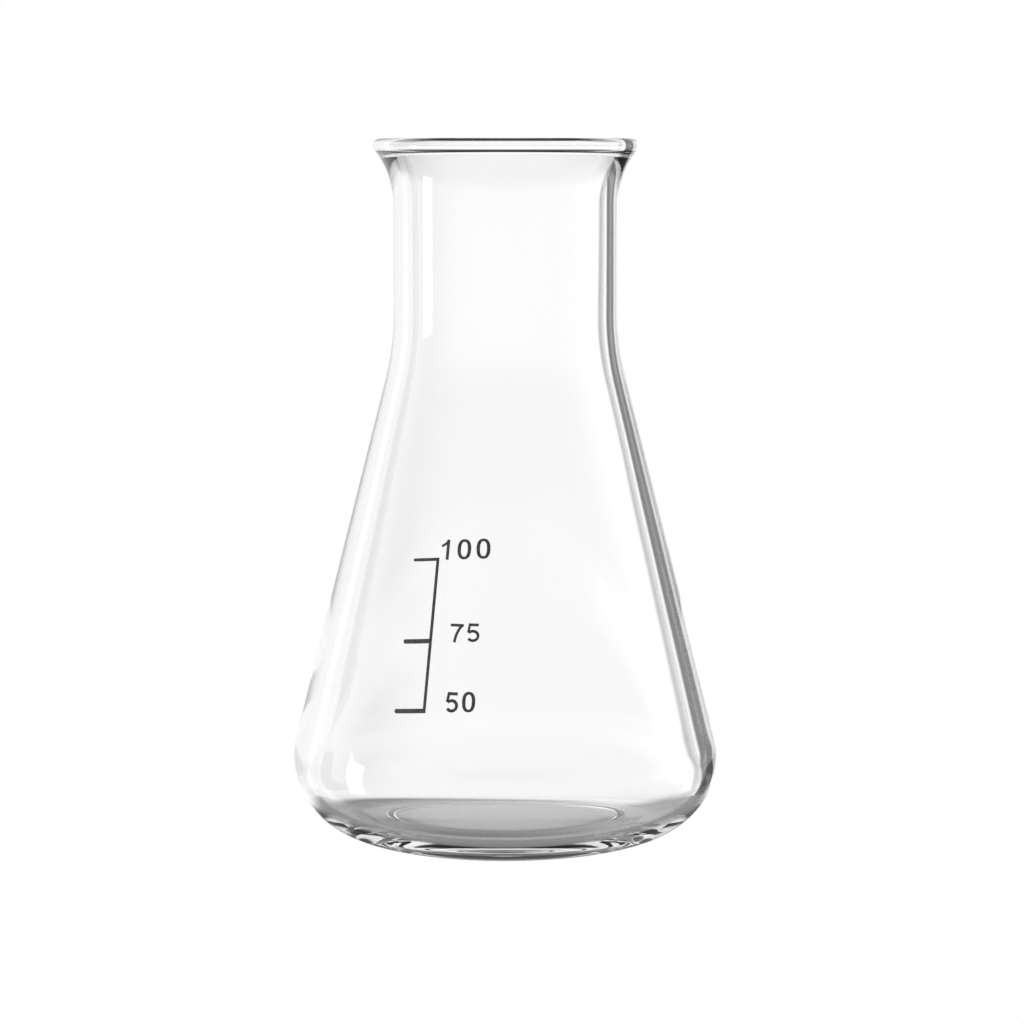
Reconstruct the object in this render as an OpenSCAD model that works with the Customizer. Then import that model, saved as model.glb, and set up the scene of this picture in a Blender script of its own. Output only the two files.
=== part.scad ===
// Erlenmeyer flask, wide neck, 125 ml body with a printed scale from 50 to 100 ml.
// Millimetres. The origin is the middle of the base, +Z is up and -Y is the front.
// The glass is one blown piece. The scale is fired enamel lying on its outside.

/* [Overall] */
// Height from the surface it stands on to the top of the rim
flask_height = 109.5; // [95:0.1:140]
// Outside diameter at the widest part of the body
body_diameter = 67.2; // [58:0.1:85]
// Outside diameter of the straight neck
neck_diameter = 35; // [30:0.1:40]
// How far the rim stands out past the neck, all round
rim_overhang = 3.15; // [2.5:0.05:5]
// Drop from the rim's top to the corner where the neck's and the cone's lines would meet
neck_length = 32.3; // [28:0.1:38]

/* [Glass] */
// Wall thickness of the neck and the shoulder
wall = 2.1; // [1.5:0.05:3.2]
// Wall thickness round the widest part of the body
heel_wall = 3; // [2.2:0.1:4.5]
// Thickness of the floor over the foot
base_thickness = 3.5; // [2.5:0.1:6]
// Wall thickness at the top of the flare, just under the rim's bead
rim_wall = 1.4; // [1:0.05:1.7]
// Diameter of the rim's bead
bead_diameter = 2.3; // [1.8:0.05:3]

/* [Curves] */
// Outside radius of the heel, from the foot up to the cone
heel_radius = 12.5; // [9:0.1:15.5]
// Inside radius where the floor turns up into the cone
inner_heel_radius = 7.5; // [5:0.1:11]
// Outside radius of the hollow curve between the cone and the neck
shoulder_radius = 43; // [20:1:60]
// Outside radius of the flare under the rim
flare_radius = 13.5; // [10:0.1:17]

/* [Foot] */
// Width of the flat ring that the flask stands on
foot_width = 1.8; // [1:0.1:3]
// Height of the hollow under the base
punt_depth = 0.9; // [0.4:0.1:1.5]
// Width of the slope from the foot ring up to that hollow
punt_slope = 1.8; // [1:0.1:4]

/* [Scale] */
// How far the upright line stands round from the front, to the left, in degrees
scale_turn = 23.6; // [0:0.1:90]
// Height of the 100 ml line
height_100 = 46.5; // [42:0.1:48]
// Height of the 75 ml line
height_75 = 34.5; // [31:0.1:37]
// Height of the 50 ml line
height_50 = 24.3; // [21:0.1:26]
// Length of the 100 ml line
length_100 = 4.15; // [2:0.1:8]
// Length of the 75 ml line
length_75 = 4.6; // [2:0.1:8]
// Length of the 50 ml line
length_50 = 5.05; // [2:0.1:8]
// Thickness of the 100 ml line
line_100 = 0.45; // [0.3:0.05:1]
// Thickness of the 75 ml and 50 ml lines
line_lower = 0.65; // [0.3:0.05:1]
// Thickness of the upright line
line_upright = 0.45; // [0.3:0.05:1]
// How far the outer ends of the three lines hang below level, in degrees
line_tilt = 5; // [0:0.5:8]
// How far the upright line's foot stands off to the right of plumb, in degrees
upright_lean = 0.7; // [0:0.1:2]
// Thickness of the fired enamel
enamel = 0.1; // [0.05:0.01:0.2]

/* [Numerals] */
// Width of a 0 at 100
numeral_width_100 = 2.1; // [1.5:0.05:3]
// Width of a numeral at 75 and 50
numeral_width_lower = 2; // [1.5:0.05:3]
// Height of the numerals at 100 and 50
numeral_height = 2.95; // [2:0.05:4]
// Height of the numerals at 75
numeral_height_75 = 2.7; // [2:0.05:4]
// Stroke of the numerals at 100 and 50
stroke = 0.45; // [0.3:0.01:0.6]
// Stroke of the numerals at 75
stroke_75 = 0.4; // [0.3:0.01:0.6]
// Step from one numeral to the next at 100
pitch_100 = 2.95; // [2.2:0.05:4]
// Step from one numeral to the next at 75
pitch_75 = 2.5; // [2.2:0.05:4]
// Step from one numeral to the next at 50
pitch_50 = 2.6; // [2.2:0.05:4]
// From the upright line to the middle of the first numeral at 100
start_100 = 1.15; // [1:0.05:6]
// From the upright line to the middle of the first numeral at 75
start_75 = 4.1; // [1:0.05:6]
// From the upright line to the middle of the first numeral at 50
start_50 = 4.3; // [1:0.05:6]
// How far each row of numerals climbs to the right, in degrees
numeral_climb = 3; // [0:0.5:5]

/* [Hidden] */

glass_colour = [0.86, 0.92, 0.93, 0.35];
enamel_colour = [0.24, 0.24, 0.25];

turn_step = 5;      // degrees between the points of an arc
overlap = 1;        // how far a cutting shape runs past what it cuts

neck_r = neck_diameter / 2;
body_r = body_diameter / 2;
bore_r = neck_r - wall;
corner_z = flask_height - neck_length;

// Heel circles, outside and inside, as [r, z]
heel_centre = [body_r - heel_radius, heel_radius];
inner_heel_centre = [
    body_r - heel_wall - inner_heel_radius,
    base_thickness + inner_heel_radius
];

// Where the neck's line and the cone's line would meet, outside and inside
cone_corner = [neck_r, corner_z];
cone_angle = tangent_angle(cone_corner, heel_centre, heel_radius);
inner_corner = [bore_r, corner_z - wall * tan(cone_angle / 2)];
inner_cone_angle = tangent_angle(inner_corner, inner_heel_centre, inner_heel_radius);

// Hollow curves of the shoulder
inner_shoulder_radius = shoulder_radius + wall;
shoulder_centre = [
    neck_r + shoulder_radius,
    corner_z + shoulder_radius * tan(cone_angle / 2)
];
inner_shoulder_centre = [
    bore_r + inner_shoulder_radius,
    inner_corner.y + inner_shoulder_radius * tan(inner_cone_angle / 2)
];

// The rim's bead carries on the outside of the flare, so its bulge is on the inside
bead_r = bead_diameter / 2;
bead_centre = [neck_r + rim_overhang - bead_r, flask_height - bead_r];
to_bead = flare_radius + bead_r;
flare_angle = acos((neck_r + flare_radius - bead_centre.x) / to_bead);
flare_centre = [neck_r + flare_radius, bead_centre.y - to_bead * sin(flare_angle)];

// The inside of the flare starts level with the outside and closes in to the rim's wall
at_neck = flare_radius + wall;
at_rim = flare_radius + rim_wall;
inner_flare_radius =
    (pow(at_neck, 2) + pow(at_rim, 2) - 2 * at_neck * at_rim * cos(flare_angle))
    / (2 * (at_neck - at_rim * cos(flare_angle)));
inner_flare_centre = [bore_r + inner_flare_radius, flare_centre.y];
inner_rim = flare_centre + at_rim * angle_point(180 - flare_angle);
inner_flare_end = atan2(inner_rim.y - inner_flare_centre.y, inner_rim.x - inner_flare_centre.x);

// The foot ring is the flat part of the base
foot_r = heel_centre.x;
foot_inner_r = foot_r - foot_width;
punt_r = foot_inner_r - punt_slope;

// Half-angle of the cone that runs from a corner down to touch a circle on its outer side
function tangent_angle(corner, centre, radius) =
    let (across = centre.x - corner.x, down = corner.y - centre.y)
    atan(across / down) + asin(radius / norm([across, down]));

// Points of an arc, from one angle to another, with its ends
function arc(centre, radius, from, to) =
    let (steps = max(2, ceil(abs(to - from) / turn_step)))
    [for (i = [0:steps]) centre + radius * angle_point(from + (to - from) * i / steps)];

function angle_point(angle) = [cos(angle), sin(angle)];

// Points of a curve that leaves first towards bend and arrives at last from it
function bow(first, bend, last, steps = 8) =
    [for (i = [0:steps]) let (t = i / steps)
        first * pow(1 - t, 2) + bend * 2 * t * (1 - t) + last * pow(t, 2)];

// Outside radius of the cone at a height
function cone_r(z) = neck_r + (corner_z - z) * tan(cone_angle);

// Half the glass in section, without the bead
function glass_outline() = concat(
    [[0, punt_depth], [punt_r, punt_depth], [foot_inner_r, 0]],
    arc(heel_centre, heel_radius, -90, cone_angle),
    arc(shoulder_centre, shoulder_radius, 180 + cone_angle, 180),
    arc(flare_centre, flare_radius, 180, 180 - flare_angle),
    arc(inner_flare_centre, inner_flare_radius, inner_flare_end, 180),
    arc(inner_shoulder_centre, inner_shoulder_radius, 180, 180 + inner_cone_angle),
    arc(inner_heel_centre, inner_heel_radius, inner_cone_angle, -90),
    [[0, base_thickness]]
);

module flask_glass() {
    color(glass_colour)
    rotate_extrude($fn = 128)
    union() {
        polygon(glass_outline());
        translate(bead_centre) circle(r = bead_r, $fn = 48);
    }
}

// The layer on the outside of the cone that all the enamel is cut from
module enamel_layer(low, high) {
    rotate_extrude($fn = 128)
    polygon([
        [cone_r(low), low],
        [cone_r(low) + enamel, low],
        [cone_r(high) + enamel, high],
        [cone_r(high), high]
    ]);
}

// How far the upright line stands to the right of its upper end, at a height
function upright_shift(height) = (height_100 - height) * tan(upright_lean);

// Stands what follows at a place on the cone, with X to the right, Z up and Y inwards
module place_on_cone(around, height) {
    turn = around * 180 / (PI * cone_r(height)) - scale_turn;
    rotate([0, 0, turn]) translate([0, 0, height]) children();
}

// The slice of space that the upright line fills, from the axis outwards
module upright_slab() {
    drop = height_100 - height_50 + line_lower / 2;
    place_on_cone(0, height_100)
    rotate([0, -upright_lean, 0])
    translate([-line_upright / 2, -body_diameter, -drop])
    cube([line_upright, body_diameter, drop + line_100 / 2]);
}

module scale_upright() {
    color(enamel_colour)
    intersection() {
        enamel_layer(height_50 - overlap, height_100 + overlap);
        upright_slab();
    }
}

// One line of the scale, round at its outer end, which stops against the upright
module scale_line(height, length, thickness) {
    color(enamel_colour)
    difference() {
        intersection() {
            enamel_layer(height - length, height + length);
            place_on_cone(upright_shift(height), height)
            rotate([0, -line_tilt, 0])
            rotate([90, 0, 0])
            linear_extrude(body_diameter)
            union() {
                translate([thickness / 2 - length, -thickness / 2])
                square([length - thickness / 2, thickness]);
                translate([thickness / 2 - length, 0])
                circle(d = thickness, $fn = 24);
            }
        }
        upright_slab();
    }
}

module line_100() {
    scale_line(height_100, length_100, line_100);
}

module line_75() {
    scale_line(height_75, length_75, line_lower);
}

module line_50() {
    scale_line(height_50, length_50, line_lower);
}

// A stroke of even width along a path, with mitred bends
module pen(path, width) {
    last = len(path) - 1;
    function heading(i) = (path[i + 1] - path[i]) / norm(path[i + 1] - path[i]);
    function side(v) = [-v.y, v.x];
    function mitre(i) =
        let (
            before = side(heading(max(i - 1, 0))),
            after = side(heading(min(i, last - 1)))
        )
        (before + after) / (1 + before * after);
    polygon(concat(
        [for (i = [0:last]) path[i] + mitre(i) * width / 2],
        [for (i = [last:-1:0]) path[i] - mitre(i) * width / 2]
    ));
}

// An oval that is squarer than an ellipse
module oval(width, height) {
    squareness = 2.4;
    function bulge(v) = sign(v) * pow(abs(v), 2 / squareness);
    polygon([for (a = [0:7.5:352.5]) [bulge(cos(a)) * width / 2, bulge(sin(a)) * height / 2]]);
}

module figure_0(width, height, pen_width) {
    translate([0, height / 2])
    difference() {
        oval(width, height);
        oval(width - 2.3 * pen_width, height - 1.7 * pen_width);
    }
}

module figure_1(width, height, pen_width) {
    stem_x = width * 0.16;
    pen([[stem_x, 0], [stem_x, height]], pen_width);
    pen(
        bow(
            [stem_x, height - pen_width * 0.4],
            [stem_x - width * 0.12, height * 0.78],
            [-width * 0.32, height * 0.66]
        ),
        pen_width * 0.8
    );
}

module figure_5(width, height, pen_width) {
    bowl_rx = (width - pen_width) / 2;
    bowl_ry = height * 0.33 - pen_width / 2;
    bowl_y = height * 0.33;
    top_y = height - pen_width / 2;
    waist = [-width * 0.36, height * 0.5];
    pen([[width * 0.42, top_y], [-width * 0.26, top_y]], pen_width);
    pen([[-width * 0.24, height], waist], pen_width * 0.9);
    pen(
        [for (a = [142:-12:-146]) [bowl_rx * cos(a), bowl_y + bowl_ry * sin(a)]],
        pen_width
    );
}

module figure_7(width, height, pen_width) {
    top_y = height - pen_width / 2;
    corner_x = width / 2 - pen_width * 0.55;
    pen([[-width / 2, top_y], [width / 2, top_y]], pen_width);
    pen(
        bow([corner_x, top_y], [-width * 0.08, height * 0.55], [-width * 0.14, 0]),
        pen_width
    );
}

module figure(digit, width, height, pen_width) {
    if (digit == 0) figure_0(width, height, pen_width);
    if (digit == 1) figure_1(width, height, pen_width);
    if (digit == 5) figure_5(width, height, pen_width);
    if (digit == 7) figure_7(width, height, pen_width);
}

// A row of figures on the cone, each facing straight out at its own place
module numeral(digits, foot_z, width, height, pen_width, start, pitch) {
    color(enamel_colour)
    for (i = [0:len(digits) - 1])
    intersection() {
        enamel_layer(foot_z - overlap, foot_z + height + overlap);
        place_on_cone(
            upright_shift(foot_z) + start + i * pitch,
            foot_z + i * pitch * tan(numeral_climb)
        )
        rotate([90, 0, 0])
        linear_extrude(body_diameter)
        figure(digits[i], width, height, pen_width);
    }
}

module numeral_100() {
    numeral(
        [1, 0, 0], height_100, numeral_width_100, numeral_height, stroke,
        start_100, pitch_100
    );
}

module numeral_75() {
    numeral(
        [7, 5], height_75, numeral_width_lower, numeral_height_75, stroke_75,
        start_75, pitch_75
    );
}

module numeral_50() {
    numeral(
        [5, 0], height_50, numeral_width_lower, numeral_height, stroke,
        start_50, pitch_50
    );
}

flask_glass();
scale_upright();
line_100();
line_75();
line_50();
numeral_100();
numeral_75();
numeral_50();
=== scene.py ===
import math
import bmesh
import bpy
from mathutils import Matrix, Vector


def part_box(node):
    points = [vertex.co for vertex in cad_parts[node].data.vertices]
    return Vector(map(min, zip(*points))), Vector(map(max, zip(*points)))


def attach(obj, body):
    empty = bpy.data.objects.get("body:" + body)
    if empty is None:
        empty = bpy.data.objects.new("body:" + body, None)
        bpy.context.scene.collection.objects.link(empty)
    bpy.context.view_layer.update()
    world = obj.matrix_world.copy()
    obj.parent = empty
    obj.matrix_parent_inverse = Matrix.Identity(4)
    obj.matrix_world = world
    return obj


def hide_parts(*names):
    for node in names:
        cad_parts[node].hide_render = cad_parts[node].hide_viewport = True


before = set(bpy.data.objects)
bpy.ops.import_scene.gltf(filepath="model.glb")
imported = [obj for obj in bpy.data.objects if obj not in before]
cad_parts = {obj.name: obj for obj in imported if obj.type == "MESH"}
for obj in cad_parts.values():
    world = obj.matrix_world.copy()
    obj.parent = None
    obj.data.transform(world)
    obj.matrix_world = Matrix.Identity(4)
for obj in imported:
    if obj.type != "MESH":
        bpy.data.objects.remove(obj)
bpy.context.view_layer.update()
print("frame loaded:", ", ".join(sorted(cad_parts)))

mm = 0.001


# an sRGB hex value as linear red, green, blue and 1
def linear(hexCode):
    channels = [int(hexCode[i:i + 2], 16) / 255 for i in (1, 3, 5)]
    return [c / 12.92 if c <= 0.04045 else ((c + 0.055) / 1.055) ** 2.4 for c in channels] + [1]


# adds a node, sets its own settings, then its sockets by name or, as i0, by number:
# a value is set and an output is linked
def addNode(tree, kind, settings=None, **sockets):
    node = tree.nodes.new(kind)
    for name, value in (settings or {}).items():
        setattr(node, name, value)
    for key, value in sockets.items():
        numbered = key[0] == "i" and key[1:].isdigit()
        socket = node.inputs[int(key[1:]) if numbered else key.replace("_", " ")]
        if isinstance(value, bpy.types.NodeSocket):
            tree.links.new(value, socket)
        else:
            socket.default_value = value
    return node


def ramp(tree, value, low, high, lowValue=0.0, highValue=1.0):
    node = addNode(
        tree, "ShaderNodeMapRange", {"interpolation_type": "SMOOTHSTEP"},
        Value=value, From_Min=low, From_Max=high, To_Min=lowValue, To_Max=highValue,
    )
    return node.outputs[0]


def calc(tree, operation, a, b=0.0):
    return addNode(tree, "ShaderNodeMath", {"operation": operation}, i0=a, i1=b).outputs[0]


view = {
    "distance": 498 * mm,   # from the flask's axis, level
    "height": 108.5 * mm,   # just under the top of the rim
    "side": 0.98 * mm,      # to the right of the axis
    "pitch": 6.59,          # degrees downwards
    "lens": 111.8,          # on a 36 mm sensor
}
camera = bpy.data.objects.new("camera", bpy.data.cameras.new("camera"))
bpy.context.scene.collection.objects.link(camera)
camera.location = (view["side"], -view["distance"], view["height"])
camera.rotation_euler = (math.radians(90 - view["pitch"]), 0, 0)
camera.data.lens = view["lens"]
camera.data.clip_start = 0.02
camera.data.clip_end = 20
bpy.context.scene.camera = camera
print("camera placed")


glassSizes = {             # millimetres; the height and the body's width come from the frame
    "neckDiameter": 35,
    "rimOverhang": 3.15,
    "neckLength": 32.3,
    "wall": 2.1,
    "heelWall": 3.0,
    "baseThickness": 3.5,
    "rimWall": 1.4,        # just under the bead
    "beadDiameter": 2.3,
    "heelRadius": 12.5,
    "innerHeelRadius": 7.5,
    "shoulderRadius": 43,
    "flareRadius": 13.5,
    "footWidth": 1.8,
    "puntDepth": 0.9,
    "puntSlope": 1.8,
}
glassMake = {
    "Segments": 256,       # round the axis
    "Waviness": 0.00004,   # how far the blown surface swells, in metres
    "Wave Size": 0.016,    # from one swelling to the next
    "Wave From": 0.02,     # heights between which it swells, clear of the heel and the rim
    "Wave To": 0.1,
    "Seed": 7.0,
}


def tangentAngle(corner, centre, radius):
    across, down = centre.x - corner.x, corner.y - centre.y
    return math.atan(across / down) + math.asin(radius / math.hypot(across, down))


def arc(centre, radius, start, end, step=math.radians(3)):
    count = max(2, math.ceil(abs(end - start) / step))
    return [
        centre + radius * Vector((math.cos(a), math.sin(a)))
        for a in (start + (end - start) * i / count for i in range(count + 1))
    ]


def straight(first, last, step=2):
    count = max(1, math.ceil((last - first).length / step))
    return [first.lerp(last, i / count) for i in range(1, count)]


def glassSection(s, bodyRadius, height):
    neckRadius = s["neckDiameter"] / 2
    boreRadius = neckRadius - s["wall"]
    cornerZ = height - s["neckLength"]
    heelCentre = Vector((bodyRadius - s["heelRadius"], s["heelRadius"]))
    innerHeelCentre = Vector((
        bodyRadius - s["heelWall"] - s["innerHeelRadius"],
        s["baseThickness"] + s["innerHeelRadius"],
    ))
    coneAngle = tangentAngle(Vector((neckRadius, cornerZ)), heelCentre, s["heelRadius"])
    innerCorner = Vector((boreRadius, cornerZ - s["wall"] * math.tan(coneAngle / 2)))
    innerConeAngle = tangentAngle(innerCorner, innerHeelCentre, s["innerHeelRadius"])
    shoulderCentre = Vector((
        neckRadius + s["shoulderRadius"],
        cornerZ + s["shoulderRadius"] * math.tan(coneAngle / 2),
    ))
    innerShoulderRadius = s["shoulderRadius"] + s["wall"]
    innerShoulderCentre = Vector((
        boreRadius + innerShoulderRadius,
        innerCorner.y + innerShoulderRadius * math.tan(innerConeAngle / 2),
    ))
    beadRadius = s["beadDiameter"] / 2
    beadCentre = Vector((neckRadius + s["rimOverhang"] - beadRadius, height - beadRadius))
    toBead = s["flareRadius"] + beadRadius
    flareAngle = math.acos((neckRadius + s["flareRadius"] - beadCentre.x) / toBead)
    flareCentre = Vector((neckRadius + s["flareRadius"], beadCentre.y - toBead * math.sin(flareAngle)))
    # the inside of the flare starts level with the outside and closes in to the rim's thinner wall
    atNeck, atRim = s["flareRadius"] + s["wall"], s["flareRadius"] + s["rimWall"]
    innerFlareRadius = (
        (atNeck ** 2 + atRim ** 2 - 2 * atNeck * atRim * math.cos(flareAngle))
        / (2 * (atNeck - atRim * math.cos(flareAngle)))
    )
    innerFlareCentre = Vector((boreRadius + innerFlareRadius, flareCentre.y))
    toCrease = innerFlareCentre - beadCentre
    creaseTurn = math.acos(
        (toCrease.length ** 2 + beadRadius ** 2 - innerFlareRadius ** 2)
        / (2 * toCrease.length * beadRadius)
    )
    creaseAngle = math.atan2(toCrease.y, toCrease.x) - creaseTurn + 2 * math.pi
    bead = arc(beadCentre, beadRadius, -flareAngle, creaseAngle, math.radians(9))
    crease = bead[-1] - innerFlareCentre
    footRadius = heelCentre.x
    footInner = footRadius - s["footWidth"]
    puntRadius = footInner - s["puntSlope"]

    half = math.pi / 2
    slope = [
        Vector((puntRadius + s["puntSlope"] * t, s["puntDepth"] * (0.5 + 0.5 * math.cos(math.pi * t))))
        for t in (i / 12 for i in range(13))
    ]
    outside = [Vector((0, s["puntDepth"]))] + straight(Vector((0, s["puntDepth"])), slope[0]) + slope
    outside += straight(slope[-1], Vector((footRadius, 0)), 0.4)
    outside += arc(heelCentre, s["heelRadius"], -half, coneAngle)
    coneTop = arc(shoulderCentre, s["shoulderRadius"], math.pi + coneAngle, math.pi)
    outside += straight(outside[-1], coneTop[0]) + coneTop
    flare = arc(flareCentre, s["flareRadius"], math.pi, math.pi - flareAngle)
    outside += straight(outside[-1], flare[0]) + flare
    inside = arc(innerFlareCentre, innerFlareRadius, math.atan2(crease.y, crease.x), math.pi)
    innerTop = arc(innerShoulderCentre, innerShoulderRadius, math.pi, math.pi + innerConeAngle)
    inside += straight(inside[-1], innerTop[0]) + innerTop
    innerHeel = arc(innerHeelCentre, s["innerHeelRadius"], innerConeAngle, -half)
    inside += straight(inside[-1], innerHeel[0]) + innerHeel
    floorCentre = Vector((0, s["baseThickness"]))
    inside += straight(innerHeel[-1], floorCentre) + [floorCentre]
    return outside + bead[1:-1] + inside


# turns a section into a closed skin and swells both its sides a little, as blown glass is
def revolveTree(material):
    tree = bpy.data.node_groups.new("revolve the section", "GeometryNodeTree")
    tree.interface.new_socket("Geometry", in_out="INPUT", socket_type="NodeSocketGeometry")
    for name, value in glassMake.items():
        kind = "NodeSocketInt" if isinstance(value, int) else "NodeSocketFloat"
        tree.interface.new_socket(name, in_out="INPUT", socket_type=kind)
    tree.interface.new_socket("Geometry", in_out="OUTPUT", socket_type="NodeSocketGeometry")
    given = addNode(tree, "NodeGroupInput").outputs
    section = given["Geometry"]
    size = addNode(tree, "GeometryNodeAttributeDomainSize", {"component": "MESH"}, Geometry=section)
    rows = size.outputs["Point Count"]
    grid = addNode(
        tree, "GeometryNodeMeshGrid",
        Vertices_X=calc(tree, "ADD", given["Segments"], 1.0), Vertices_Y=rows,
    )
    index = addNode(tree, "GeometryNodeInputIndex").outputs[0]
    column = calc(tree, "FLOOR", calc(tree, "DIVIDE", index, rows))
    angle = calc(tree, "MULTIPLY", calc(tree, "DIVIDE", column, given["Segments"]), 2 * math.pi)
    where = addNode(tree, "GeometryNodeInputPosition").outputs[0]
    point = addNode(
        tree, "GeometryNodeSampleIndex", {"data_type": "FLOAT_VECTOR", "domain": "POINT"},
        Geometry=section, Value=where, Index=calc(tree, "MODULO", index, rows),
    )
    turned = addNode(
        tree, "ShaderNodeVectorRotate", {"rotation_type": "Z_AXIS"},
        Vector=point.outputs["Value"], Angle=angle,
    )
    placed = addNode(tree, "GeometryNodeSetPosition", Geometry=grid.outputs[0], Position=turned.outputs[0])
    merged = addNode(tree, "GeometryNodeMergeByDistance", Geometry=placed.outputs[0], Distance=1e-6)
    noise = addNode(
        tree, "ShaderNodeTexNoise", {"noise_dimensions": "4D"},
        Vector=where, W=given["Seed"], Scale=calc(tree, "DIVIDE", 1.0, given["Wave Size"]), Detail=0.0,
    )
    height = addNode(tree, "ShaderNodeSeparateXYZ", i0=where).outputs[2]
    fade = calc(
        tree, "MULTIPLY",
        ramp(tree, height, given["Wave From"], calc(tree, "ADD", given["Wave From"], given["Wave Size"])),
        ramp(tree, height, given["Wave To"], calc(tree, "SUBTRACT", given["Wave To"], given["Wave Size"])),
    )
    swelling = calc(tree, "MULTIPLY", calc(tree, "MULTIPLY", noise.outputs["Fac"], fade), given["Waviness"])
    outwards = addNode(tree, "GeometryNodeInputNormal").outputs[0]
    offset = addNode(tree, "ShaderNodeVectorMath", {"operation": "SCALE"}, i0=outwards, Scale=swelling)
    waved = addNode(tree, "GeometryNodeSetPosition", Geometry=merged.outputs[0], Offset=offset.outputs[0])
    smooth = addNode(tree, "GeometryNodeSetShadeSmooth", Geometry=waved.outputs[0])
    real = addNode(tree, "GeometryNodeRealizeInstances", Geometry=smooth.outputs[0])
    painted = addNode(tree, "GeometryNodeSetMaterial", Geometry=real.outputs[0], Material=material)
    addNode(tree, "NodeGroupOutput", Geometry=painted.outputs[0])
    return tree


# noise of a real size, in metres, read from the object's own coordinates
def grain(tree, size, stretch=(1, 1, 1), detail=2.0):
    place = addNode(tree, "ShaderNodeTexCoord").outputs["Object"]
    stretched = addNode(tree, "ShaderNodeMapping", Vector=place, Scale=stretch)
    noise = addNode(tree, "ShaderNodeTexNoise", Vector=stretched.outputs[0], Scale=1 / size, Detail=detail)
    return noise.outputs["Fac"]


def tint(tree, amount, first, second):
    ends = {"i6": linear(first), "i7": linear(second)}
    return addNode(tree, "ShaderNodeMix", {"data_type": "RGBA"}, i0=amount, **ends).outputs[2]


glassLook = {
    "ior": 1.473,
    "cloudSize": 30 * mm,
    "thin": "#ffffff",
    "dense": "#fdfdfd",
    "haze": 0.01,          # roughness where it is densest
    "streakSize": 3 * mm,
    "streakStretch": (1, 1, 0.08),
    "streakDepth": 0.01 * mm,
    "streakStrength": 0.2,
}


# clear blown glass: the eye reads its wall from bent light at the edges, a breath of grey where the
# melt is denser and faint streaks that run from the foot to the rim
def glassMaterial():
    look = glassLook
    material = bpy.data.materials.new("borosilicate glass")
    material.use_nodes = True
    tree = material.node_tree
    shader = tree.nodes["Principled BSDF"]
    shader.inputs["IOR"].default_value = look["ior"]
    shader.inputs["Transmission Weight"].default_value = 1
    cloud = grain(tree, look["cloudSize"], detail=1.0)
    tree.links.new(tint(tree, cloud, look["thin"], look["dense"]), shader.inputs["Base Color"])
    tree.links.new(ramp(tree, cloud, 0.5, 0.8, 0.0, look["haze"]), shader.inputs["Roughness"])
    streaks = grain(tree, look["streakSize"], look["streakStretch"], 1.0)
    bump = addNode(
        tree, "ShaderNodeBump",
        Strength=look["streakStrength"], Distance=look["streakDepth"], Height=streaks,
    )
    tree.links.new(bump.outputs[0], shader.inputs["Normal"])
    return material


def makeGlass():
    low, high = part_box("flask_glass")
    points = glassSection(glassSizes, (high.x - low.x) / 2 / mm, high.z / mm)
    mesh = bpy.data.meshes.new("glass section")
    edges = [(i, i + 1) for i in range(len(points) - 1)]
    mesh.from_pydata([(p.x * mm, 0, p.y * mm) for p in points], edges, [])
    piece = bpy.data.objects.new("blownGlass", mesh)
    bpy.context.scene.collection.objects.link(piece)
    material = glassMaterial()
    modifier = piece.modifiers.new("revolve", "NODES")
    modifier.node_group = revolveTree(material)
    for item in modifier.node_group.interface.items_tree:
        if item.in_out == "INPUT" and item.name in glassMake:
            modifier[item.identifier] = glassMake[item.name]
    graph = bpy.context.evaluated_depsgraph_get()
    solid = bpy.data.meshes.new_from_object(piece.evaluated_get(graph))
    piece.modifiers.remove(modifier)
    piece.data = solid
    edit = bmesh.new()
    edit.from_mesh(solid)
    bmesh.ops.recalc_face_normals(edit, faces=edit.faces)
    edit.to_mesh(solid)
    edit.free()
    print("glass:", len(points), "section points,", len(solid.polygons), "faces")
    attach(piece, "root")
    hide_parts("flask_glass")


makeGlass()


enamelLook = {
    "patchSize": 0.7 * mm,
    "thick": "#5c5c5f",
    "thin": "#7c7c7f",
    "smooth": 0.38,        # roughness of the two
    "dull": 0.55,
    "grainSize": 0.12 * mm,
    "grainDepth": 0.01 * mm,
    "grainStrength": 0.3,
}


# ceramic ink, thin and a little patchy from the screen, with a dull sheen and a fine grain from firing
def enamelMaterial():
    look = enamelLook
    material = bpy.data.materials.new("fired screen-print enamel")
    material.use_nodes = True
    tree = material.node_tree
    shader = tree.nodes["Principled BSDF"]
    patches = ramp(tree, grain(tree, look["patchSize"]), 0.3, 0.7)
    tree.links.new(tint(tree, patches, look["thick"], look["thin"]), shader.inputs["Base Color"])
    tree.links.new(ramp(tree, patches, 0, 1, look["smooth"], look["dull"]), shader.inputs["Roughness"])
    bump = addNode(
        tree, "ShaderNodeBump", Strength=look["grainStrength"], Distance=look["grainDepth"],
        Height=grain(tree, look["grainSize"]),
    )
    tree.links.new(bump.outputs[0], shader.inputs["Normal"])
    return material


enamel = enamelMaterial()
for name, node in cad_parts.items():
    if name != "flask_glass":
        for place in node.material_slots:
            place.material = enamel
print("enamel painted")


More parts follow.
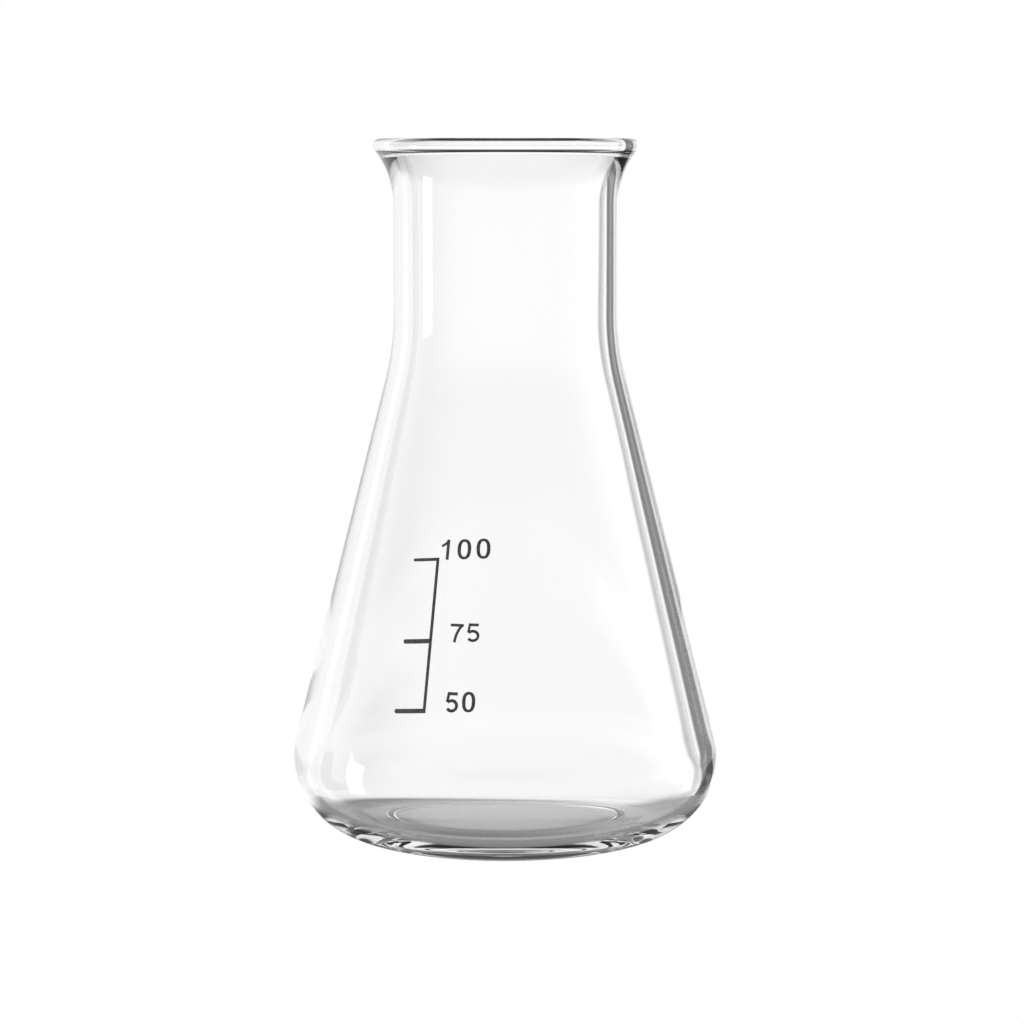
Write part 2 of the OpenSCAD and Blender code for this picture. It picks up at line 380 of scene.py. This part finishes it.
studio = {                 # light levels are linear, 1 is white; angles are in degrees
    "backdrop": 1.07,
    "room": 0.5,
    "roomFrom": 60,        # to either side of straight behind, where the backdrop ends
    "roomTo": 120,
    "dark": 0.1,           # of the backdrop's light
    "darkFrom": 20,        # to the right of straight behind
    "darkTo": 41,
    "darkEdge": 3,
    "grey": 0.86,
    "greyFrom": 6,         # to the left of straight behind
    "greyTo": 38,
    "greyEdge": 5,
    "above": 0.05,
    "aboveFrom": 15,       # over the horizon
    "aboveTo": 25,
    "below": 0.05,
    "belowFrom": -21,      # past the edge of the table
    "belowTo": -31,
}
table = {
    "radius": 48 * mm,
    # painted light behind and painted shade in front: the table's two levels
    "behind": 1.07,
    "front": 0.28,
    "litFrom": -95,        # the painted lit part lies between these, from straight behind; outside it is painted shade
    "litTo": 75,
    "litEdge": 30,
    "paintedShadow": 0.15,         # painted shadow, where the flask keeps the light out
    "paintedShadowMiddle": (-6 * mm, 4 * mm, 0),
    "paintedShadowRadius": 21 * mm,
    "openRadius": 28 * mm,
    "drop": 0.1 * mm,
}


# degrees to the right of straight behind
def azimuthOf(tree, parts):
    return calc(tree, "MULTIPLY", calc(tree, "ARCTAN2", parts[0], parts[1]), 180 / math.pi)


# 1 between two values and 0 outside them, with soft edges
def between(tree, value, low, high, edge):
    rise = ramp(tree, value, low - edge, low + edge)
    fall = ramp(tree, value, high - edge, high + edge, 1.0, 0.0)
    return calc(tree, "MULTIPLY", rise, fall)


# white to the camera and the given level to all other rays, so that only the glass shows the studio
def whiteToCamera(tree, kind, level):
    seen = addNode(tree, "ShaderNodeLightPath").outputs["Is Camera Ray"]
    lit = addNode(tree, kind, Color=(1, 1, 1, 1), Strength=level).outputs[0]
    white = addNode(tree, kind, Color=(1, 1, 1, 1), Strength=1.0).outputs[0]
    return addNode(tree, "ShaderNodeMixShader", i0=seen, i1=lit, i2=white).outputs[0]


# a pale backdrop with a dark card to the right and a grey one to the left, a dimmer room in front,
# and dark above and below
def makeWorld():
    world = bpy.data.worlds.new("studio")
    world.use_nodes = True
    tree = world.node_tree
    tree.nodes.clear()
    direction = addNode(tree, "ShaderNodeTexCoord").outputs["Generated"]
    parts = addNode(tree, "ShaderNodeSeparateXYZ", i0=direction).outputs
    azimuth = azimuthOf(tree, parts)
    elevation = calc(tree, "MULTIPLY", calc(tree, "ARCSINE", parts[2]), 180 / math.pi)
    offAxis = calc(tree, "ABSOLUTE", azimuth)
    darkCard = between(tree, azimuth, studio["darkFrom"], studio["darkTo"], studio["darkEdge"])
    greyCard = between(tree, azimuth, -studio["greyTo"], -studio["greyFrom"], studio["greyEdge"])
    light = ramp(tree, offAxis, studio["roomFrom"], studio["roomTo"], studio["backdrop"], studio["room"])
    for level in (
        ramp(tree, darkCard, 0, 1, 1.0, studio["dark"]),
        ramp(tree, greyCard, 0, 1, 1.0, studio["grey"]),
        ramp(tree, elevation, studio["aboveFrom"], studio["aboveTo"], 1.0, studio["above"]),
        ramp(tree, elevation, studio["belowTo"], studio["belowFrom"], studio["below"], 1.0),
    ):
        light = calc(tree, "MULTIPLY", light, level)
    addNode(tree, "ShaderNodeOutputWorld", Surface=whiteToCamera(tree, "ShaderNodeBackground", light))
    bpy.context.scene.world = world


# pale, with painted shade a little darker in front and a painted shadow under the flask
def tableMaterial():
    material = bpy.data.materials.new("white table")
    material.use_nodes = True
    tree = material.node_tree
    tree.nodes.clear()
    place = addNode(tree, "ShaderNodeTexCoord").outputs["Object"]
    parts = addNode(tree, "ShaderNodeSeparateXYZ", i0=place).outputs
    edge = table["litEdge"] / 2
    # painted light on the part behind, painted shade in front and to the sides
    lit = between(tree, azimuthOf(tree, parts), table["litFrom"] + edge, table["litTo"] - edge, edge)
    paintedLitLevel = ramp(tree, lit, 0, 1, table["front"], table["behind"])
    # a painted shadow: darker round a point just under the flask
    distance = addNode(
        tree, "ShaderNodeVectorMath", {"operation": "DISTANCE"}, i0=place, i1=table["paintedShadowMiddle"],
    ).outputs["Value"]
    outsidePaintedShadow = ramp(tree, distance, table["paintedShadowRadius"], table["openRadius"])
    level = addNode(tree, "ShaderNodeMix", i0=outsidePaintedShadow, i2=table["paintedShadow"], i3=paintedLitLevel).outputs[0]
    addNode(tree, "ShaderNodeOutputMaterial", Surface=whiteToCamera(tree, "ShaderNodeEmission", level))
    return material


def makeTable():
    mesh = bpy.data.meshes.new("table")
    edit = bmesh.new()
    bmesh.ops.create_circle(edit, cap_ends=True, segments=96, radius=table["radius"])
    edit.to_mesh(mesh)
    edit.free()
    mesh.materials.append(tableMaterial())
    floor = bpy.data.objects.new("table", mesh)
    floor.location.z = -table["drop"]
    bpy.context.scene.collection.objects.link(floor)


softbox = {
    "width": 150 * mm,
    "height": 370 * mm,
    "away": 700 * mm,
    "lowEdge": -260 * mm,
    "turn": 93.5,          # degrees to the left of straight behind
    "roll": 4,             # degrees
    "power": 0.9,          # watts
}


def makeSoftbox():
    lamp = bpy.data.lights.new("left softbox", "AREA")
    lamp.shape = "RECTANGLE"
    lamp.size = softbox["width"]
    lamp.size_y = softbox["height"]
    lamp.energy = softbox["power"]
    light = bpy.data.objects.new("left softbox", lamp)
    bpy.context.scene.collection.objects.link(light)
    turn = math.radians(softbox["turn"])
    light.location = (
        -softbox["away"] * math.sin(turn),
        softbox["away"] * math.cos(turn),
        softbox["lowEdge"] + softbox["height"] / 2,
    )
    light.rotation_euler = (math.radians(90), math.radians(softbox["roll"]), turn - math.pi)
    light.visible_camera = False
    light.visible_transmission = False


makeWorld()
makeTable()
makeSoftbox()
scene = bpy.context.scene
scene.view_settings.view_transform = "Standard"
scene.cycles.max_bounces = 24
scene.cycles.glossy_bounces = 16
scene.cycles.transmission_bounces = 24
print("studio lit")
